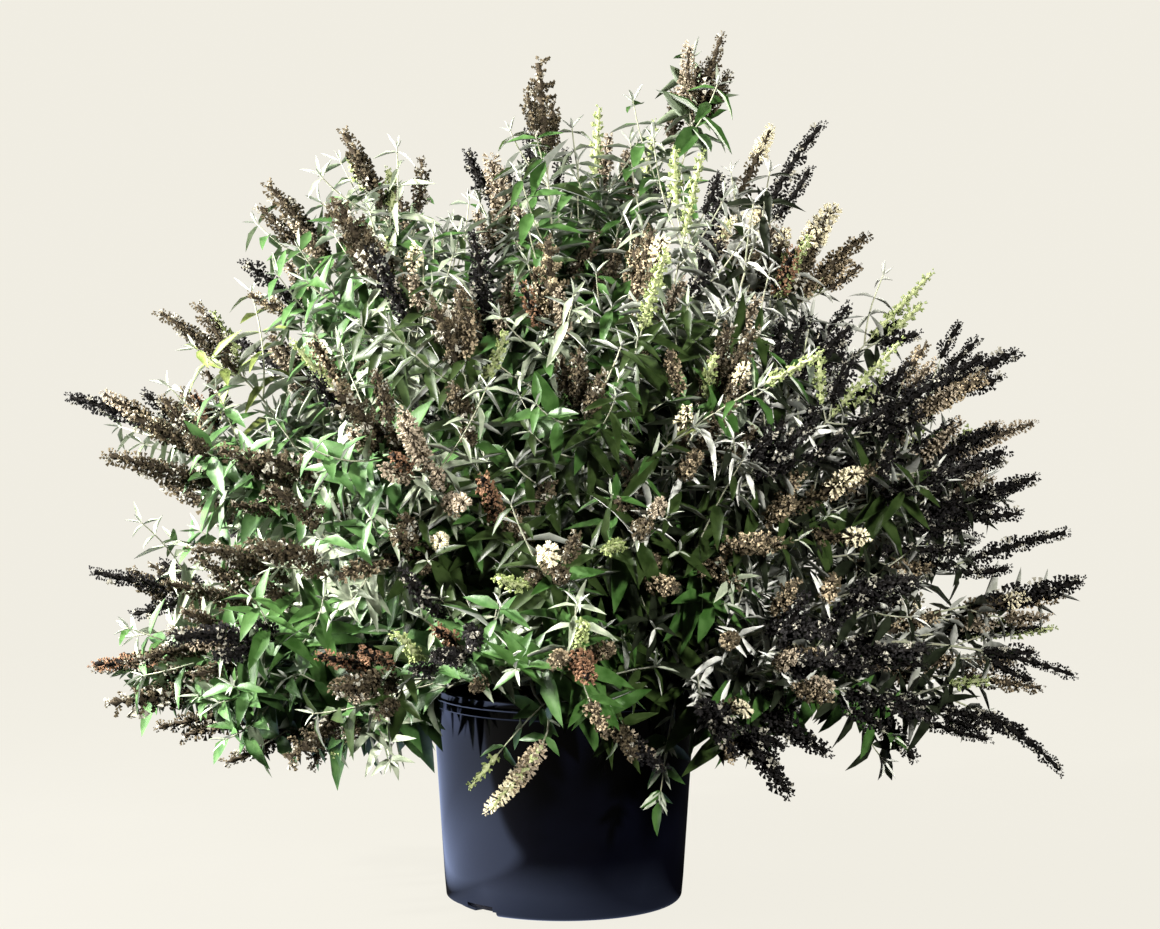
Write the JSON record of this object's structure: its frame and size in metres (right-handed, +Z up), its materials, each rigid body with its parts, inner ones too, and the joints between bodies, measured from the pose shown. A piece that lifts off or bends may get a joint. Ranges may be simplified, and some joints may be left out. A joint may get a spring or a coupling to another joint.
{
  "type": "potted butterfly bush",
  "caption": "White butterfly bush in a round dark nursery pot: short pruned stool, arching boughs, opposite lance-shaped leaves and mostly faded flower spikes.",
  "frame": {"origin": "centre of the pot's flat underside", "axes": "+Z up, -Y towards the front, where one white spike hangs in front of the pot, +X to the right seen from there"},
  "size_m": [1.3883, 1.3036, 1.188],
  "materials": {
    "pot": "satin",
    "soil": "rough",
    "bark": "rough",
    "stem": "matte",
    "foliage": "matte"
  },
  "bodies": {
    "root": {"pot": "pot", "soil": "soil", "stool": "bark", "bough_skirt_1": "stem", "bough_skirt_2": "stem", "bough_skirt_3": "stem", "bough_skirt_4": "stem", "bough_skirt_5": "stem", "bough_skirt_6": "stem", "bough_skirt_7": "stem", "bough_skirt_8": "stem", "bough_flank_1": "stem", "bough_flank_2": "stem", "bough_flank_3": "stem", "bough_flank_4": "stem", "bough_flank_5": "stem", "bough_flank_6": "stem", "bough_flank_7": "stem", "bough_shoulder_1": "stem", "bough_shoulder_2": "stem", "bough_shoulder_3": "stem", "bough_shoulder_4": "stem", "bough_top": "stem", "foliage_skirt_1": "foliage", "foliage_skirt_2": "foliage", "foliage_skirt_3": "foliage", "foliage_skirt_4": "foliage", "foliage_skirt_5": "foliage", "foliage_skirt_6": "foliage", "foliage_skirt_7": "foliage", "foliage_skirt_8": "foliage", "foliage_flank_1": "foliage", "foliage_flank_2": "foliage", "foliage_flank_3": "foliage", "foliage_flank_4": "foliage", "foliage_flank_5": "foliage", "foliage_flank_6": "foliage", "foliage_flank_7": "foliage", "foliage_shoulder_1": "foliage", "foliage_shoulder_2": "foliage", "foliage_shoulder_3": "foliage", "foliage_shoulder_4": "foliage", "foliage_top": "foliage"}
  },
  "joints": []
}
